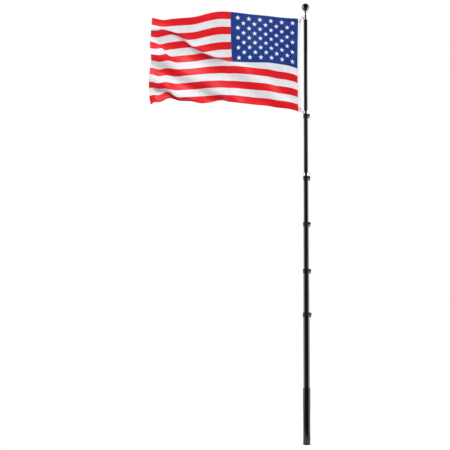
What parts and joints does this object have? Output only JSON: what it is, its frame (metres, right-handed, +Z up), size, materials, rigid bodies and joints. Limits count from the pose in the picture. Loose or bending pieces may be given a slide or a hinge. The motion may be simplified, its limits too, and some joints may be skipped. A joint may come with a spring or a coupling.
{
  "type": "flagpole",
  "caption": "Telescoping black flagpole in a ground sleeve, with lever clamps, a ball finial, swivel rings and snap hooks that carry a striped, starred flag.",
  "frame": {"origin": "middle of the flat foot of the ground sleeve", "axes": "+Z up along the pole, the flag flies towards -X and the clamp levers face +X, +Y away from the side that shows the flag with its hoist on the right"},
  "size_m": [1.592, 0.1404, 4.335],
  "materials": {
    "black_tube": "gloss",
    "sleeve_plastic": "satin",
    "clamp_black": "satin",
    "lever_black": "satin",
    "pin_steel": "satin",
    "stem_black": "gloss",
    "ball_black": "gloss",
    "polished_steel": "polished",
    "grommet_brass": "satin",
    "heading_canvas": "matte",
    "flag_cloth": "matte"
  },
  "bodies": {
    "sleeve": {"ground_sleeve": "sleeve_plastic", "sleeve_end_cap": "sleeve_plastic", "sleeve_rim": "sleeve_plastic"},
    "stage_1": {"tube_1": "black_tube", "clamp_collar_1": "clamp_black", "clamp_pin_1": "pin_steel"},
    "stage_2": {"tube_2": "black_tube", "clamp_collar_2": "clamp_black", "clamp_pin_2": "pin_steel"},
    "stage_3": {"tube_3": "black_tube", "clamp_collar_3": "clamp_black", "clamp_pin_3": "pin_steel"},
    "stage_4": {"tube_4": "black_tube", "clamp_collar_4": "clamp_black", "clamp_pin_4": "pin_steel"},
    "stage_5": {"tube_5": "black_tube", "clamp_collar_5": "clamp_black", "clamp_pin_5": "pin_steel"},
    "stage_6": {"tube_6": "black_tube", "pole_cap": "clamp_black", "finial_stem": "stem_black", "stem_band": "polished_steel", "ball_finial": "ball_black"},
    "lever_1": {"clamp_lever_1": "lever_black"},
    "lever_2": {"clamp_lever_2": "lever_black"},
    "lever_3": {"clamp_lever_3": "lever_black"},
    "lever_4": {"clamp_lever_4": "lever_black"},
    "lever_5": {"clamp_lever_5": "lever_black"},
    "flag_swivel": {"upper_flag_ring": "polished_steel", "upper_snap_hook": "polished_steel", "grommet_top": "grommet_brass", "flag_heading": "heading_canvas", "flag": "flag_cloth"},
    "lower_swivel": {"lower_flag_ring": "polished_steel", "lower_snap_hook": "polished_steel", "grommet_bottom": "grommet_brass"},
    "spare_swivel": {"spare_flag_ring": "polished_steel"}
  },
  "joints": [
    {"name": "pole_lift", "type": "slide", "parent": "sleeve", "child": "stage_1", "axis": [0, 0, 1], "range_m": [0, 0.56]},
    {"name": "tube_2_slide", "type": "slide", "parent": "stage_1", "child": "stage_2", "axis": [0, 0, 1], "range_m": [-0.379, 0.493]},
    {"name": "tube_3_slide", "type": "slide", "parent": "stage_2", "child": "stage_3", "axis": [0, 0, 1], "range_m": [-0.411, 0.461]},
    {"name": "tube_4_slide", "type": "slide", "parent": "stage_3", "child": "stage_4", "axis": [0, 0, 1], "range_m": [-0.402, 0.47]},
    {"name": "tube_5_slide", "type": "slide", "parent": "stage_4", "child": "stage_5", "axis": [0, 0, 1], "range_m": [-0.525, 0.312]},
    {"name": "tube_6_slide", "type": "slide", "parent": "stage_5", "child": "stage_6", "axis": [0, 0, 1], "range_m": [-0.8, 0], "deforming": ["flag", "flag_heading"]},
    {"name": "lever_1_hinge", "type": "hinge", "parent": "stage_1", "child": "lever_1", "pos_m": [0.0425, 0, 1.287], "axis": [0, -1, 0], "range_deg": [0, 90]},
    {"name": "lever_2_hinge", "type": "hinge", "parent": "stage_2", "child": "lever_2", "pos_m": [0.04, 0, 1.716], "axis": [0, -1, 0], "range_deg": [0, 90]},
    {"name": "lever_3_hinge", "type": "hinge", "parent": "stage_3", "child": "lever_3", "pos_m": [0.0375, 0, 2.177], "axis": [0, -1, 0], "range_deg": [0, 90]},
    {"name": "lever_4_hinge", "type": "hinge", "parent": "stage_4", "child": "lever_4", "pos_m": [0.035, 0, 2.629], "axis": [0, -1, 0], "range_deg": [0, 90]},
    {"name": "lever_5_hinge", "type": "hinge", "parent": "stage_5", "child": "lever_5", "pos_m": [0.0325, 0, 3.239], "axis": [0, -1, 0], "range_deg": [0, 90]},
    {"name": "flag_swivel_turn", "type": "hinge", "parent": "stage_6", "child": "flag_swivel", "pos_m": [0, 0, 4.181], "axis": [0, 0, 1], "continuous": true},
    {"name": "lower_swivel_turn", "type": "hinge", "parent": "stage_5", "child": "lower_swivel", "pos_m": [0, 0, 3.266], "axis": [0, 0, 1], "continuous": true},
    {"name": "spare_swivel_turn", "type": "hinge", "parent": "stage_4", "child": "spare_swivel", "pos_m": [0, 0, 2.656], "axis": [0, 0, 1], "continuous": true}
  ],
  "couplings": [
    {"joint": "lower_swivel_turn", "follows": "flag_swivel_turn", "ratio": 1}
  ]
}
